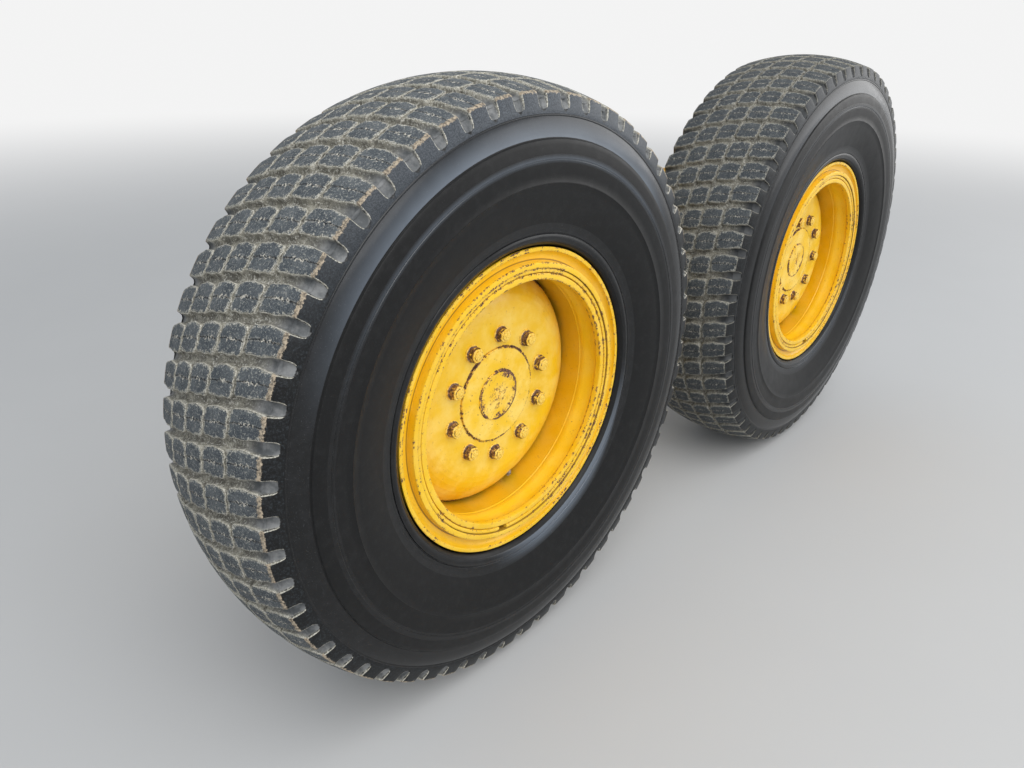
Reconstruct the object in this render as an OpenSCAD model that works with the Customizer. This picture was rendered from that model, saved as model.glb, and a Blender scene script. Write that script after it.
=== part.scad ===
// Left-hand tandem of a motor grader: two wheels on their chain case, with the pivot housing that carries it.
// Units are millimetres. +X is the machine's front, +Y is outboard and +Z is up.
// The origin is the centre of the pivot flange's face, level with the axles and midway between them.

/* [Layout] */
// Distance between the two axles
axle_spacing = 1523; // [1480:1:1600]
// Distance from the pivot flange's face to the chain case
pivot_length = 150; // [140:1:200]
// Free space between the chain case and a tyre's inner side
case_gap = 58; // [45:1:90]

/* [Chain case] */
// Width over both side plates
case_width = 201; // [190:1:230]
// Height in the middle
case_height = 572; // [560:1:600]
// Radius of the rounded ends, about each axle
case_end_radius = 258; // [252:1:270]
// Length of the level stretch in the middle
case_level = 620; // [580:1:680]
// Thickness of the outer side plate
outer_plate = 18; // [14:1:22]
// Thickness of the inner side plate
inner_plate = 16; // [12:1:20]
// Radius of the drain plugs' flange
drain_plug = 22; // [16:1:28]
// How far the side plates stand past the wrapper plate
plate_overhang = 10; // [6:1:14]

/* [Wheel housings] */
// Radius of the brake housing
brake_radius = 198; // [190:1:204]
// Length of the brake housing's free part, from the chain case's plate to its joint with the bearing housing
brake_length = 150; // [140:1:170]
// Radius of the bearing housing's nose
bearing_radius = 150; // [140:1:160]

/* [Rim] */
// Width over the rim's flanges
rim_width = 300; // [296:1:306]
// Radius of the bead seats
seat_radius = 304.8; // [303:0.2:306]
// Height of the flanges over the bead seats
flange_height = 40.7; // [38:0.1:43]
// Step from the bead seats down to the rim's bore
bore_step = 23.3; // [22:0.1:25]
// Thickness of the side rings
ring_thickness = 9; // [8:0.5:10]
// Gap in the split lock ring
ring_split = 8; // [4:1:12]

/* [Disc and hub] */
// Depth of the disc's flat face behind the rim's outer lip
disc_depth = 78.5; // [70:0.5:100]
// Depth of the disc's edge behind the rim's outer lip
disc_edge_depth = 133; // [125:1:145]
// Radius of the disc's flat middle
disc_flat_radius = 185; // [178:1:195]
// Thickness of the disc
disc_thickness = 16; // [12:1:18]
// Radius of the notch in the disc's edge that leaves room for the valve
notch_radius = 20; // [14:1:24]
// Radius of the hub's pilot, which the disc fits over
pilot_radius = 110.5; // [105:0.5:114]
// Diameter of the circle that the nuts stand on
nut_circle = 285.75; // [282:0.25:292]
// Width of a nut across its flats
nut_flats = 30; // [27:1:36]
// Height of a nut with its washer face
nut_height = 20; // [18:1:27]

/* [Tyre] */
// Radius in the middle of the tread
tyre_radius = 668; // [655:1:685]
// How much lower the tread's edges lie than its middle
shoulder_drop = 26; // [20:1:32]
// Width of the tread, from edge to edge
tread_width = 326; // [315:1:335]
// Width over the sidewalls
tyre_width = 378; // [370:1:384]
// Thickness of the rubber and cords under the tread
crown_thickness = 46; // [38:1:52]
// Width of each bead, from the rim's flange to the toe
bead_width = 34; // [30:1:40]

/* [Tread] */
// Grooves across the tread
cross_grooves = 60; // [48:1:66]
// Width of the grooves across the tread
groove_width = 22; // [18:1:25]
// Depth of the grooves across the tread
groove_depth = 14; // [8:1:16]
// Slant of the grooves from the axle's direction, in degrees
groove_slant = 14; // [10:1:18]
// Radius of the scoops in which the grooves end
scoop_radius = 12; // [10:0.5:13]
// Reach of the scoops down the sidewalls
scoop_reach = 54; // [40:1:60]
// Width of the middle row of blocks
middle_row = 52; // [46:1:58]
// Width of the rows next to the middle one
second_row = 56; // [50:1:60]
// Width of the slits between the rows
slit_width = 6; // [4:0.5:8]
// Depth of the slits between the rows
slit_depth = 8; // [4:0.5:10]

/* [Hidden] */
$fn = 96;
// Room between pieces that seat in one another, and round a shaft that turns
fit = 0.3;
running_fit = 0.08;

NUTS = 10;
// Turn of each wheel about its axle, so that the nuts and the valve stand as they do on the machine
FRONT_TURN = 21.8;
REAR_TURN = 5;
// Turn of the first groove from the first nut
TREAD_TURN = 0.4;

case_inner = pivot_length;
case_outer = pivot_length + case_width;
tyre_centre = case_outer + case_gap + tyre_width / 2;
rim_face = tyre_centre + rim_width / 2;

// Section of the rim: radii, then depths from the outer lip, outboard positive
flange_radius = seat_radius + flange_height;
base_bore = seat_radius - bore_step;
curl_radius = 21.5;
curl_centre = flange_radius - curl_radius;
lip_chamfer = 1.5;
ring_inner_face = -23;
band_lip_radius = seat_radius + 9.7;
band_lip_top = 4;
base_wall = 9.5;
base_radius = base_bore + base_wall;
gutter_bore = base_bore - 4.5;
gutter_floor = base_radius - 5;
lock_radius = base_radius + 10.5;

disc_drop = disc_edge_depth - disc_depth;
disc_run = base_bore - fit - disc_flat_radius;
disc_bend = (disc_run * disc_run + disc_drop * disc_drop) / (2 * disc_drop);
disc_bend_angle = asin(disc_run / disc_bend);
disc_back = disc_depth + disc_thickness;
valve_angle = -127.3;

hub_flange_radius = nut_circle / 2 + 29;
hub_flange_thickness = 28;
hub_back = disc_back + hub_flange_thickness;
neck_radius = 110;
neck_length = 66;
pilot_depth = disc_depth - 3.5;

housing_end = hub_back + 24;
housing_start = rim_face - case_outer;

// Shared shapes

// Points of an arc about [x, y], angles in degrees from the first axis
function arc(centre, radius, from, to, steps) = [
    for (i = [0 : steps])
        let (a = from + (to - from) * i / steps)
        [centre.x + radius * cos(a), centre.y + radius * sin(a)]
];

// Turns an outline of [radius, place along the axle] about the Y axis
module turned(points) {
    rotate([-90, 0, 0])
        rotate_extrude()
            polygon(points);
}

// A shaft or hole along Y, from one place to another
module shaft(radius, from, to) {
    translate([0, from, 0])
        rotate([-90, 0, 0])
            cylinder(h = to - from, r = radius);
}

// Moves its children from the machine's front to an angle above it, about the Y axis
module turn_up(angle) {
    rotate([0, -angle, 0])
        children();
}

// A ring of like pieces, the first at the start angle
module around(count, radius, start = 0) {
    for (i = [0 : count - 1])
        turn_up(start + i * 360 / count)
            translate([radius, 0, 0])
                children();
}

// A hexagon prism along Y with its outer corners eased
module hex_head(flats, from, to) {
    corner = flats / sqrt(3);
    intersection() {
        translate([0, from, 0])
            rotate([-90, 0, 0])
                cylinder(h = to - from, r = corner, $fn = 6);
        turned([[0, from], [corner + 1, from], [corner + 1, to - corner * 0.25], [flats / 2 - 1, to], [0, to]]);
    }
}

// Places its children in a wheel's own frame: the axle is Y, and 0 is the rim's outer lip
module at_wheel(side) {
    translate([side * axle_spacing / 2, rim_face, 0])
        children();
}

module at_both_wheels() {
    for (side = [1, -1])
        at_wheel(side)
            children();
}

// Chain case

// Side view of the case: round about each axle, with straight flanks up to the level middle
module case_outline(inset) {
    half_height = case_height / 2 - inset;
    end_radius = case_end_radius - inset;
    end_x = axle_spacing / 2;
    knee_x = case_level / 2;
    reach = norm([end_x - knee_x, half_height]);
    // The flank ends just inside the round end, so that the two cross instead of only touching
    seat = end_radius - 0.5;
    lean = atan2(half_height, knee_x - end_x) - acos(seat / reach);
    touch = [end_x + seat * cos(lean), seat * sin(lean)];
    union() {
        for (side = [1, -1])
            translate([side * end_x, 0])
                circle(r = end_radius);
        polygon([
            [-knee_x, half_height], [-touch.x, touch.y], [-touch.x, -touch.y], [-knee_x, -half_height],
            [knee_x, -half_height], [touch.x, -touch.y], touch, [knee_x, half_height]
        ]);
    }
}

module case_slab(from, to, inset) {
    translate([0, to, 0])
        rotate([90, 0, 0])
            linear_extrude(height = to - from)
                case_outline(inset);
}

module case_body() {
    color([0.87, 0.6, 0.07])
        case_slab(case_inner + inner_plate, case_outer - outer_plate, plate_overhang);
}

module case_outer_plate() {
    color([0.9, 0.62, 0.08])
        case_slab(case_outer - outer_plate, case_outer, 0);
}

module case_inner_plate() {
    color([0.9, 0.62, 0.08])
        case_slab(case_inner, case_inner + inner_plate, 0);
}

// Fittings of the chain case

cover_size = [230, 120, 12];
cover_x = case_level / 2 - cover_size.x / 2 - 20;
cover_y = (case_inner + inner_plate + case_outer - outer_plate) / 2;
case_top = case_height / 2 - plate_overhang;

module at_covers() {
    for (side = [1, -1])
        translate([side * cover_x, cover_y, case_top])
            children();
}

module top_covers() {
    color([0.88, 0.6, 0.07])
        at_covers()
            translate([-cover_size.x / 2, -cover_size.y / 2, 0])
                cube(cover_size);
}

module cover_bolts() {
    color([0.45, 0.42, 0.38])
        at_covers()
            for (x = [-1, 0, 1])
                for (y = [-1, 1])
                    translate([x * (cover_size.x / 2 - 15), y * (cover_size.y / 2 - 15), cover_size.z])
                        cylinder(h = 8, r = 9.5, $fn = 6);
}

module filler_plug() {
    color([0.3, 0.29, 0.27])
        translate([34, cover_y, case_top]) {
            cylinder(h = 14, r = 24);
            translate([0, 0, 14])
                cylinder(h = 14, r = 17, $fn = 6);
        }
}

module breather() {
    color([0.5, 0.48, 0.44])
        translate([-34, cover_y, case_top]) {
            cylinder(h = 20, r = 8);
            translate([0, 0, 20])
                cylinder(h = 22, r = 15);
        }
}

module level_plug() {
    color([0.45, 0.42, 0.38])
        translate([0, 0, -case_height / 5]) {
            shaft(20, case_outer, case_outer + 4);
            hex_head(27, case_outer + 4, case_outer + 14);
        }
}

module drain_plugs() {
    color([0.45, 0.42, 0.38])
        for (side = [1, -1])
            translate([side * case_level / 3, cover_y, plate_overhang - case_height / 2]) {
                translate([0, 0, -drain_plug * 0.73])
                    cylinder(h = drain_plug * 0.6, r = drain_plug * 0.64, $fn = 6);
                translate([0, 0, -drain_plug * 0.18])
                    cylinder(h = drain_plug * 0.18, r = drain_plug);
            }
}

// Pivot housing

pivot_flange_radius = 238;
pivot_flange_thickness = 28;
pivot_barrel_radius = 176;
pivot_bolt_circle = 424;
pivot_bolts = 16;
pivot_hole_radius = 11.5;
swivel_radius = 236;
swivel_thickness = 32;
pilot_recess_radius = 120;
pilot_recess_depth = 14;
shaft_bore_radius = 62;
shaft_bore_depth = 110;

module pivot_housing() {
    rib_angle = 360 / pivot_bolts;
    rib_thickness = 16;
    barrel_end = pivot_length - swivel_thickness;
    color([0.85, 0.57, 0.06])
        difference() {
            union() {
                shaft(pivot_flange_radius, 0, pivot_flange_thickness);
                shaft(pivot_barrel_radius, 0, barrel_end);
                for (i = [0 : pivot_bolts / 2 - 1])
                    turn_up((2 * i + 0.5) * rib_angle)
                        translate([0, 0, -rib_thickness / 2])
                            linear_extrude(height = rib_thickness)
                                polygon([
                                    [pivot_barrel_radius - 20, pivot_flange_thickness - 1],
                                    [pivot_flange_radius - 8, pivot_flange_thickness - 1],
                                    [pivot_flange_radius - 8, pivot_flange_thickness + 8],
                                    [pivot_barrel_radius + 4, barrel_end - 8],
                                    [pivot_barrel_radius - 20, barrel_end - 8]
                                ]);
            }
            around(pivot_bolts, pivot_bolt_circle / 2)
                shaft(pivot_hole_radius, -1, pivot_flange_thickness + 1);
            shaft(pilot_recess_radius, -1, pilot_recess_depth);
            shaft(shaft_bore_radius, -1, shaft_bore_depth);
        }
}

module swivel_ring() {
    color([0.8, 0.54, 0.06])
        shaft(swivel_radius, pivot_length - swivel_thickness, pivot_length);
}

module swivel_bolts() {
    head = 14;
    start = pivot_length - swivel_thickness;
    color([0.42, 0.4, 0.36])
        around(24, swivel_radius - 22, 7.5)
            hex_head(27, start - head, start);
}

// Wheel spindle housings, in the wheel's own frame

brake_flange_radius = brake_radius + 32;
brake_flange_thickness = 22;
brake_end = housing_start - brake_length;
housing_bolt_radius = brake_radius + 16;
joint_flange_radius = brake_radius + 24;
joint_flange_thickness = 18;

module brake_housings() {
    color([0.84, 0.57, 0.07])
        at_both_wheels()
            turned([
                [0, -housing_start],
                [brake_flange_radius, -housing_start],
                [brake_flange_radius, brake_flange_thickness - housing_start],
                [brake_radius, brake_flange_thickness - housing_start],
                [brake_radius, -brake_end - joint_flange_thickness],
                [joint_flange_radius, -brake_end - joint_flange_thickness],
                [joint_flange_radius, -brake_end],
                [0, -brake_end]
            ]);
}

module bearing_housings() {
    cone_end = -housing_end - 20;
    cover_edge = joint_flange_thickness - brake_end;
    color([0.82, 0.55, 0.07])
        at_both_wheels()
            turned([
                [0, -brake_end],
                [joint_flange_radius, -brake_end],
                [joint_flange_radius, cover_edge],
                [bearing_radius + 22, cover_edge],
                [bearing_radius, cone_end],
                [bearing_radius, -housing_end],
                [neck_radius + running_fit, -housing_end],
                [neck_radius + running_fit, -hub_back - neck_length - 2],
                [0, -hub_back - neck_length - 2]
            ]);
}

module housing_bolts() {
    // Each row: count, radius of the circle, place of the heads' seat
    rows = [
        [16, housing_bolt_radius, brake_flange_thickness - housing_start],
        [12, joint_flange_radius - 16, joint_flange_thickness - brake_end]
    ];
    color([0.42, 0.4, 0.36])
        at_both_wheels()
            for (row = rows)
                let (count = row[0], circle_radius = row[1], seat = row[2])
                around(count, circle_radius, 180 / count)
                    hex_head(22, seat, seat + 12);
}

// Wheel pieces, in the wheel's own frame

shoulder_radius = tyre_radius - shoulder_drop;
tread_half = tread_width / 2;
section_height = shoulder_radius - flange_radius;

// Radius of the crown at a distance from its middle
function crown(y) =
    let (bend = (tread_half * tread_half + shoulder_drop * shoulder_drop) / (2 * shoulder_drop))
    tyre_radius - bend + sqrt(bend * bend - y * y);

// Half of the tyre's outside, from the bead's heel to the middle of the tread: [radius, distance from the middle]
function tyre_outside() =
    let (
        heel = ring_inner_face + rim_width / 2 - fit,
        half = tyre_width / 2,
        // The sidewall: share of the section's height, distance in from the widest place
        sidewall = [
            [0.184, 20], [0.319, 9], [0.454, 2.5], [0.588, 0], [0.717, 3.5], [0.723, 7.5], [0.862, 15], [0.902, 17]
        ],
        slits = [middle_row / 2 + slit_width + second_row, middle_row / 2]
    )
    concat(
        [[seat_radius + fit, heel]],
        arc([curl_centre, ring_inner_face + rim_width / 2 + curl_radius], curl_radius + fit, -90, -35, 3),
        [
            [flange_radius + 4, heel + 12],
            [flange_radius + 12, heel + 29],
            [flange_radius + 21.5, heel + 35],
            [flange_radius + 30, heel + 33]
        ],
        [for (p = sidewall) [flange_radius + p[0] * section_height, half - p[1]]],
        [[shoulder_radius, tread_half]],
        [
            for (y = slits)
                each [
                    [crown(y + slit_width), y + slit_width],
                    [crown(y + slit_width) - slit_depth, y + slit_width],
                    [crown(y) - slit_depth, y],
                    [crown(y), y]
                ]
        ],
        [[tyre_radius, 0]]
    );

// Half of the tyre's inside, from the middle of the tread to the bead's toe
function tyre_inside() =
    let (
        half = tyre_width / 2,
        top = tyre_radius - crown_thickness,
        toe = seat_radius + bead_width * 0.65,
        bead_in = rim_width / 2 + ring_inner_face - bead_width,
        // Share of the way in to the toe, share of the half width
        wall = [[0.034, 0.5], [0.142, 0.78], [0.312, 0.884], [0.508, 0.894], [0.762, 0.757]]
    )
    concat(
        [[top, 0]],
        [for (p = wall) [top - p[0] * (top - toe), half * p[1]]],
        [[toe, bead_in + 4], [seat_radius + fit, bead_in]]
    );

module plain_tyre() {
    outside = tyre_outside();
    inside = tyre_inside();
    turned(concat(
        [for (p = outside) p],
        [for (i = [len(outside) - 2 : -1 : 0]) [outside[i].x, -outside[i].y]],
        [for (i = [len(inside) - 1 : -1 : 0]) [inside[i].x, -inside[i].y]],
        [for (i = [1 : len(inside) - 1]) inside[i]]
    ));
}

// One groove across the tread, open above: its floor follows the crown, and a scoop at each end runs out down the
// shoulder
module tread_groove() {
    reach = tread_half + 12;
    edge = tread_half - 8;
    floor = [for (y = [-edge, -edge / 2, 0, edge / 2, edge]) [crown(y) - groove_depth, y]];
    rotate([groove_slant, 0, 0]) {
        translate([0, 0, -groove_width / 2])
            linear_extrude(height = groove_width)
                polygon(concat(
                    [[tyre_radius + 10, reach], [tyre_radius + 10, -reach], [shoulder_radius + 4, -reach]],
                    floor,
                    [[shoulder_radius + 4, reach]]
                ));
        for (side = [1, -1])
            translate([shoulder_radius - 20, side * (tread_half + 16.5), 0])
                rotate([side * 90, 0, 0])
                    rotate([0, 52, 0])
                        translate([0, 0, -scoop_reach / 2])
                            cylinder(h = scoop_reach * 1.5, r = scoop_radius, $fn = 6);
    }
}

module tyre() {
    color([0.06, 0.06, 0.065])
        translate([0, -rim_width / 2, 0])
            difference() {
                plain_tyre();
                for (i = [0 : cross_grooves - 1])
                    turn_up(TREAD_TURN + i * 360 / cross_grooves)
                        tread_groove();
            }
}

module rim_base() {
    back = -rim_width;
    color([0.93, 0.63, 0.05])
        turned([
            [gutter_bore, -14],
            [gutter_bore, -1.5],
            [gutter_bore + 1.5, 0],
            [base_radius - 1.5, 0],
            [base_radius, -1.5],
            [base_radius, -8],
            [gutter_floor, -8],
            [gutter_floor, -26],
            [base_radius, -26],
            [base_radius, back * 0.567],
            [seat_radius, back * 0.633],
            [seat_radius, back - ring_inner_face - ring_thickness - fit],
            [band_lip_radius, back - ring_inner_face - ring_thickness - fit],
            [band_lip_radius, back + 2],
            [band_lip_radius - 3, back - 1],
            [base_bore, back - 1],
            [base_bore, -18]
        ]);
}

// One side ring: an upright wall that curls over into the lip
module side_ring() {
    foot = ring_inner_face;
    back = foot + ring_thickness;
    curl = [curl_centre, foot + curl_radius];
    turned(concat(
        [[seat_radius + fit, foot]],
        arc(curl, curl_radius, -90, 0, 6),
        [[flange_radius - lip_chamfer, 0], [flange_radius - ring_thickness + lip_chamfer, 0]],
        arc(curl, curl_radius - ring_thickness, 0, -90, 6),
        [[seat_radius + fit, back]]
    ));
}

module side_rings() {
    color([0.94, 0.64, 0.04]) {
        side_ring();
        translate([0, -rim_width, 0])
            mirror([0, 1, 0])
                side_ring();
    }
}

module seat_band() {
    stop = ring_inner_face + ring_thickness + fit;
    color([0.94, 0.66, 0.08])
        turned([
            [base_radius + fit, -rim_width / 2 + 8],
            [seat_radius - 2, -rim_width / 2 + 8],
            [seat_radius, -rim_width / 2 + 12],
            [seat_radius, stop],
            [band_lip_radius, stop],
            [band_lip_radius, band_lip_top - 2],
            [band_lip_radius - 2, band_lip_top],
            [lock_radius + 4, band_lip_top],
            [lock_radius + 1.5, band_lip_top - 3],
            [lock_radius + fit, -6],
            [lock_radius + fit, -25.7],
            [base_radius + fit, -25.7]
        ]);
}

module lock_ring() {
    color([0.93, 0.65, 0.08])
        difference() {
            turned([
                [gutter_floor + fit, -25.4],
                [lock_radius, -25.4],
                [lock_radius, -1],
                [lock_radius - 2, 1],
                [base_radius + 3.5, 1],
                [base_radius + 1.5, -1],
                [base_radius + 1.5, -8.3],
                [gutter_floor + fit, -8.3]
            ]);
            turn_up(-100)
                translate([base_bore - 5, -rim_width / 2, -ring_split / 2])
                    cube([lock_radius - base_bore + 10, rim_width, ring_split]);
        }
}

module disc() {
    bend = [disc_flat_radius, -disc_depth - disc_bend];
    edge = base_bore - fit;
    notch_back = -disc_edge_depth - 2 * notch_radius;
    notch_middle = edge - notch_radius * 1.05;
    color([0.93, 0.63, 0.06])
        difference() {
            turned(concat(
                [[pilot_radius + fit, -disc_back], [pilot_radius + fit, -disc_depth - 2]],
                [[pilot_radius + fit + 2, -disc_depth]],
                arc(bend, disc_bend, 90, 90 - disc_bend_angle, 8),
                [[edge, -disc_edge_depth - 32], [edge - 14, -disc_edge_depth - 32]],
                [[edge - 14, -disc_edge_depth - disc_thickness * 0.5]],
                arc(bend, disc_bend - disc_thickness, 90 - disc_bend_angle * 0.82, 90, 6)
            ));
            turn_up(valve_angle) {
                translate([notch_middle, 0, 0])
                    shaft(notch_radius, notch_back, -disc_depth + 5);
                translate([notch_middle, notch_back, -notch_radius])
                    cube([2 * notch_radius, disc_drop + 2.5 * notch_radius, 2 * notch_radius]);
            }
        }
}

module hub() {
    color([0.93, 0.64, 0.07])
        turned([
            [0, -hub_back - neck_length],
            [neck_radius, -hub_back - neck_length],
            [neck_radius, -hub_back],
            [hub_flange_radius, -hub_back],
            [hub_flange_radius, -disc_back],
            [pilot_radius, -disc_back],
            [pilot_radius, -pilot_depth - 1.5],
            [pilot_radius - 1.5, -pilot_depth],
            [0, -pilot_depth]
        ]);
}

module hub_boss() {
    boss_radius = 59;
    height = 3;
    color([0.9, 0.6, 0.08])
        turned([
            [5, -pilot_depth],
            [boss_radius, -pilot_depth],
            [boss_radius, height - 1.5 - pilot_depth],
            [boss_radius - 1.5, height - pilot_depth],
            [7, height - pilot_depth]
        ]);
}

module nuts() {
    washer_radius = nut_flats * 0.66;
    washer_height = 5;
    stud_radius = 10.5;
    color([0.62, 0.4, 0.12])
        around(NUTS, nut_circle / 2)
            union() {
                turned([
                    [0, -disc_depth],
                    [washer_radius, -disc_depth],
                    [washer_radius, 2 - disc_depth],
                    [nut_flats / 2, washer_height - disc_depth],
                    [0, washer_height - disc_depth]
                ]);
                hex_head(nut_flats, washer_height - disc_depth, nut_height - disc_depth);
                shaft(stud_radius, nut_height - disc_depth - 1, nut_height - disc_depth + 2);
            }
}

module valve() {
    foot = base_bore - fit;
    bend_radius = foot - notch_radius * 1.35;
    depth = disc_edge_depth + 12;
    stem_radius = 7;
    cap_radius = 8;
    color([0.5, 0.5, 0.5])
        turn_up(valve_angle) {
            translate([bend_radius, -depth, 0])
                rotate([0, 90, 0])
                    cylinder(h = foot - bend_radius, r = stem_radius);
            translate([bend_radius, 0, 0]) {
                shaft(stem_radius, -depth - stem_radius, -depth + 20);
                shaft(cap_radius, -depth + 20, -disc_depth - 22);
            }
        }
}

// Both wheels are alike: each piece is the shared one, turned and put on its axle

module front_wheel() {
    at_wheel(1)
        turn_up(FRONT_TURN)
            children();
}

module rear_wheel() {
    at_wheel(-1)
        turn_up(REAR_TURN)
            children();
}

module front_tyre() { front_wheel() tyre(); }
module front_rim_base() { front_wheel() rim_base(); }
module front_side_rings() { front_wheel() side_rings(); }
module front_seat_band() { front_wheel() seat_band(); }
module front_lock_ring() { front_wheel() lock_ring(); }
module front_disc() { front_wheel() disc(); }
module front_hub() { front_wheel() hub(); }
module front_hub_boss() { front_wheel() hub_boss(); }
module front_nuts() { front_wheel() nuts(); }
module front_valve() { front_wheel() valve(); }

module rear_tyre() { rear_wheel() tyre(); }
module rear_rim_base() { rear_wheel() rim_base(); }
module rear_side_rings() { rear_wheel() side_rings(); }
module rear_seat_band() { rear_wheel() seat_band(); }
module rear_lock_ring() { rear_wheel() lock_ring(); }
module rear_disc() { rear_wheel() disc(); }
module rear_hub() { rear_wheel() hub(); }
module rear_hub_boss() { rear_wheel() hub_boss(); }
module rear_nuts() { rear_wheel() nuts(); }
module rear_valve() { rear_wheel() valve(); }

case_body();
case_outer_plate();
case_inner_plate();
top_covers();
cover_bolts();
filler_plug();
breather();
level_plug();
drain_plugs();
pivot_housing();
swivel_ring();
swivel_bolts();
brake_housings();
bearing_housings();
housing_bolts();
front_tyre();
front_rim_base();
front_side_rings();
front_seat_band();
front_lock_ring();
front_disc();
front_hub();
front_hub_boss();
front_nuts();
front_valve();
rear_tyre();
rear_rim_base();
rear_side_rings();
rear_seat_band();
rear_lock_ring();
rear_disc();
rear_hub();
rear_hub_boss();
rear_nuts();
rear_valve();
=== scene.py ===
import math

import bmesh
import bpy
from mathutils import Matrix, Vector


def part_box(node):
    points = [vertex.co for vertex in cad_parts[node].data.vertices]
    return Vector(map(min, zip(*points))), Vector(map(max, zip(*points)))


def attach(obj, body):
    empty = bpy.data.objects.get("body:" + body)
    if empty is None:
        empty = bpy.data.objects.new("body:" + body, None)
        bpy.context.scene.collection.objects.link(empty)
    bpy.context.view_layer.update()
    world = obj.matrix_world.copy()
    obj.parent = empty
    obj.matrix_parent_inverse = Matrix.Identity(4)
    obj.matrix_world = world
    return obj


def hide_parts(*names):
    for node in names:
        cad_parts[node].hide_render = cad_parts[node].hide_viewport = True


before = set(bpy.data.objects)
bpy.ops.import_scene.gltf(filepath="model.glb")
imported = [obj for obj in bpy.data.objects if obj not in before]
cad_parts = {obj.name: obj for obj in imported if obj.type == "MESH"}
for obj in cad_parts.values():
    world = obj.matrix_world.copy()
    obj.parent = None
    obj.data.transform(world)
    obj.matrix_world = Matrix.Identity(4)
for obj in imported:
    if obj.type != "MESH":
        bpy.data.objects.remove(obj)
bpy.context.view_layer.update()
scene = bpy.context.scene

# Sizes are in millimetres, and a metre has this many. A wheel piece is drawn about its axle, with 0 at the
# rim's outer lip and the outside at +Y.
METRE = 1000

AXLE_X = 761.5
RIM_FACE = 748.0
# Each wheel's place along the machine, and the degrees that it is turned about its axle
WHEELS = {"front": (AXLE_X, 21.8), "rear": (-AXLE_X, 5.0)}
FLOOR = -668.0

TYRE_MIDDLE = -150.0
TYRE_RADIUS = 667.9
TREAD_HALF = 163.0
SHOULDER_DROP = 26.0
GROOVES = 60
GROOVE_DEPTH = 13.0
SLIT_DEPTH = 4.5

DISC_DEPTH = 78.5
NUTS = 10
NUT_CIRCLE_RADIUS = 142.875

CASE_HEIGHT = 572.0
CASE_END_RADIUS = 258.0
CASE_LEVEL = 620.0
PLATE_OVERHANG = 10.0
WELD_RADIUS = 6.2
WELD_RIPPLE = 1.5

# How far from an eased corner its wear reaches, and the bend from which an edge stays sharp
WEAR_REACH = 5.0
SHARP_FROM = math.radians(35)
# The most that the bead shines, where rubber is polished from 0.5 on
BEAD_SHEEN = 0.53


# Mesh helpers

def wheel_place(side, unit=1):
    """Takes a piece from a wheel's own frame to the machine's: turned about the axle, and then moved."""
    x, turn = WHEELS[side]
    return Matrix.Translation((x / unit, RIM_FACE / unit, 0)) @ Matrix.Rotation(math.radians(-turn), 4, "Y")


def put_in_place(points, side):
    """Moves points from a wheel's own frame to the machine's, in metres."""
    place = wheel_place(side)
    return [tuple(c / METRE for c in place @ p) for p in points]


def set_values(mesh, values):
    """Gives a mesh its named values, with one number for each point."""
    for key, numbers in values.items():
        mesh.attributes.new(key, "FLOAT", "POINT").data.foreach_set("value", numbers)


def shade(mesh):
    mesh.shade_smooth()
    mesh.set_sharp_from_angle(angle=SHARP_FROM)


def new_mesh(name, points, faces, values):
    """A closed mesh with its faces pointing outwards, and named values at its points."""
    mesh = bpy.data.meshes.new(name)
    mesh.from_pydata(points, [], faces)
    set_values(mesh, values)
    shape = bmesh.new()
    shape.from_mesh(mesh)
    bmesh.ops.remove_doubles(shape, verts=shape.verts, dist=1e-6)
    bmesh.ops.recalc_face_normals(shape, faces=shape.faces)
    shape.to_mesh(mesh)
    shape.free()
    shade(mesh)
    return mesh


def new_object(name, data):
    made = bpy.data.objects.new(name, data)
    scene.collection.objects.link(made)
    return made


def eased(outline):
    """Rounds an outline's corners. A corner is (radius, place, rounding). Each point made is (radius, place,
    wear), where the wear fades out along the two sides that meet at the corner."""
    made = []
    for i, (r, y, rounding) in enumerate(outline):
        if not rounding:
            made.append((r, y, 0.0))
            continue
        ends = []
        for other in (outline[i - 1], outline[(i + 1) % len(outline)]):
            dr, dy = other[0] - r, other[1] - y
            length = math.hypot(dr, dy)
            # On a short side the rounding and its wear stop before the middle
            near, far = min(rounding, length * 0.45), min(WEAR_REACH, length * 0.48)
            room = far > near + 0.3
            ends.append(((r + dr * near / length, y + dy * near / length, 1.0),
                         (r + dr * far / length, y + dy * far / length, 0.0), room))
        (a, a_far, a_room), (b, b_far, b_room) = ends
        middle = ((a[0] + b[0]) / 4 + r / 2, (a[1] + b[1]) / 4 + y / 2, 1.0)
        made += ([a_far] if a_room else []) + [a, middle, b] + ([b_far] if b_room else [])
    return made


def tube_faces(n, rings, whole):
    """Faces between rings of n points each. A whole one joins its last ring to its first, and any other tube
    has both ends closed."""
    bands = rings if whole else rings - 1
    faces = [
        (i * n + j, i * n + (j + 1) % n, (i + 1) % rings * n + (j + 1) % n, (i + 1) % rings * n + j)
        for i in range(bands) for j in range(n)
    ]
    if not whole:
        faces += [tuple(range(n)), tuple(bands * n + j for j in reversed(range(n)))]
    return faces


def turned(outline, steps=192, start=0.0, sweep=360.0):
    """Turns a closed outline of (radius, place, wear) about the axle. Gives the points, their faces and the
    wear at each point."""
    whole = sweep == 360.0
    rings = steps if whole else steps + 1
    points, wear = [], []
    for i in range(rings):
        a = math.radians(start + sweep * i / steps)
        for r, y, w in outline:
            points.append((r * math.cos(a), y, r * math.sin(a)))
            wear.append(w)
    return points, tube_faces(len(outline), rings, whole), wear


def turned_piece(name, side, outline, material, **how):
    points, faces, wear = turned(outline, **how)
    mesh = new_mesh(name, put_in_place([Vector(p) for p in points], side), faces, {"wear": wear})
    mesh.materials.append(material)
    return new_object(name, mesh)


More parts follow.
